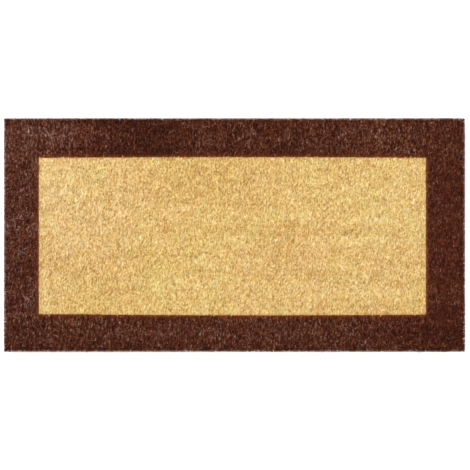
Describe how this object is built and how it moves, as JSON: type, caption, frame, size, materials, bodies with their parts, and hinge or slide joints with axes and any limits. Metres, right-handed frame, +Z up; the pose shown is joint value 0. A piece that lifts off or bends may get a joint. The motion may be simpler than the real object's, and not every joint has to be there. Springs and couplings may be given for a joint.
{
  "type": "coir door mat",
  "caption": "Rectangular woven coir door mat with a cut pile, a natural field framed by a dark brown border, for wiping shoes at a door.",
  "frame": {"origin": "on the floor under the middle of the mat", "axes": "+X along the mat's length, +Y across its width, +Z up out of the pile"},
  "size_m": [0.914, 0.462, 0.028],
  "materials": {
    "natural_pile": "cut coir pile, natural straw colour",
    "border_pile": "cut coir pile, dyed dark brown",
    "base_coir": "two-ply coir yarn, natural",
    "edge_coir": "plaited coir yarn, dyed dark brown",
    "sewing_twine": "thin coir sewing twine"
  },
  "bodies": {
    "root": {"ground_warp_01": "base_coir", "ground_warp_02": "base_coir", "ground_warp_03": "base_coir", "ground_warp_04": "base_coir", "ground_warp_05": "base_coir", "ground_warp_06": "base_coir", "ground_warp_07": "base_coir", "ground_warp_08": "base_coir", "ground_warp_09": "base_coir", "ground_warp_10": "base_coir", "ground_warp_11": "base_coir", "ground_warp_12": "base_coir", "ground_warp_13": "base_coir", "ground_warp_14": "base_coir", "ground_warp_15": "base_coir", "ground_warp_16": "base_coir", "ground_warp_17": "base_coir", "ground_warp_18": "base_coir", "ground_warp_19": "base_coir", "ground_warp_20": "base_coir", "ground_warp_21": "base_coir", "ground_warp_22": "base_coir", "ground_warp_23": "base_coir", "ground_warp_24": "base_coir", "ground_warp_25": "base_coir", "ground_warp_26": "base_coir", "ground_warp_27": "base_coir", "ground_warp_28": "base_coir", "ground_warp_29": "base_coir", "ground_warp_30": "base_coir", "ground_warp_31": "base_coir", "ground_warp_32": "base_coir", "ground_warp_33": "base_coir", "ground_warp_34": "base_coir", "ground_warp_35": "base_coir", "ground_warp_36": "base_coir", "ground_warp_37": "base_coir", "weft": "base_coir", "selvedge_cord_front": "edge_coir", "selvedge_cord_back": "edge_coir", "end_braid_left": "edge_coir", "end_braid_right": "edge_coir", "sewing_yarn_front": "sewing_twine", "sewing_yarn_back": "sewing_twine", "sewing_yarn_left": "sewing_twine", "sewing_yarn_right": "sewing_twine", "pile_end_left": "border_pile", "pile_end_right": "border_pile", "pile_side_front": "border_pile", "pile_side_back": "border_pile", "pile_field": "natural_pile"}
  },
  "joints": []
}
